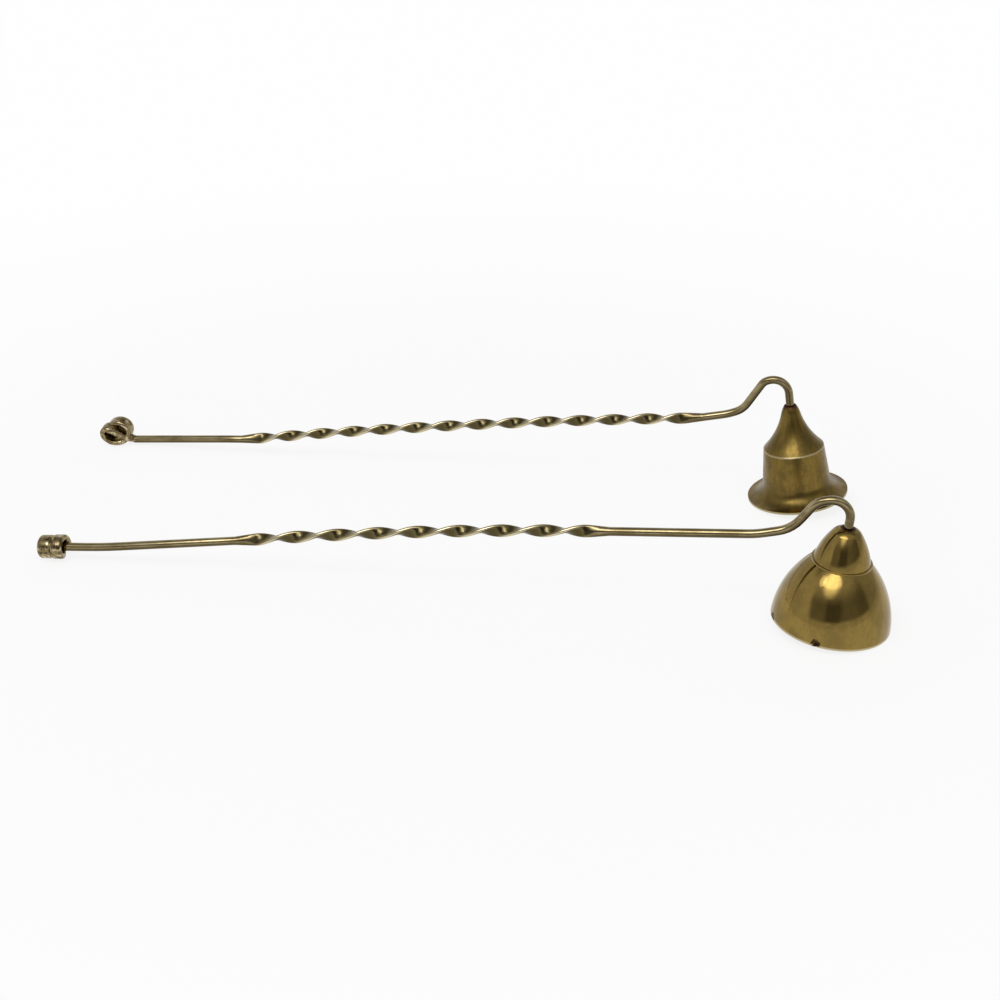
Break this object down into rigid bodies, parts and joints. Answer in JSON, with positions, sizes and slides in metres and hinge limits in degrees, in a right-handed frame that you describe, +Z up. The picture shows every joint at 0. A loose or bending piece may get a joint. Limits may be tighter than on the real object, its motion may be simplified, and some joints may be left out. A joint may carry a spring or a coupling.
{
  "type": "candle snuffer pair",
  "caption": "Pair of brass candle snuffers with twisted wire handles, coiled ends and hooked crooks, one with a domed bell under a cap and one with a flared bell",
  "frame": {"origin": "Bottom centre of the box round both snuffers as they lie: Z = 0 is the table, and X and Y are the middle of the box", "axes": "+X runs along the handles from the coiled ends to the bells, +Y from the domed snuffer across to the flared one, +Z up"},
  "size_m": [0.2772, 0.1526, 0.0466],
  "materials": {
    "wire_brass": "aged, satin, with a thin brown film",
    "glossy_brass": "polished, lightly tarnished",
    "satin_brass": "satin, with a thin brown film"
  },
  "bodies": {
    "domed_stem": {"domed_handle": "wire_brass", "domed_washer": "wire_brass"},
    "domed_head": {"domed_cap": "glossy_brass", "domed_dome": "glossy_brass"},
    "flared_stem": {"flared_handle": "wire_brass", "flared_washer": "wire_brass"},
    "flared_head": {"flared_bell": "satin_brass"}
  },
  "joints": [
    {"name": "domed_bell_swivel", "type": "hinge", "parent": "domed_stem", "child": "domed_head", "pos_m": [0.11844, -0.05772, 0.00149], "axis": [0.0791, -0.0132, 0.9968], "continuous": true},
    {"name": "flared_snuffer_lift", "type": "slide", "parent": "domed_stem", "child": "flared_stem", "axis": [0, 0, 1], "range_m": [0, 0.15]},
    {"name": "flared_bell_swivel", "type": "hinge", "parent": "flared_stem", "child": "flared_head", "pos_m": [0.1214, 0.02713, 0.00267], "axis": [-0.1503, 0.0284, 0.9882], "continuous": true}
  ]
}
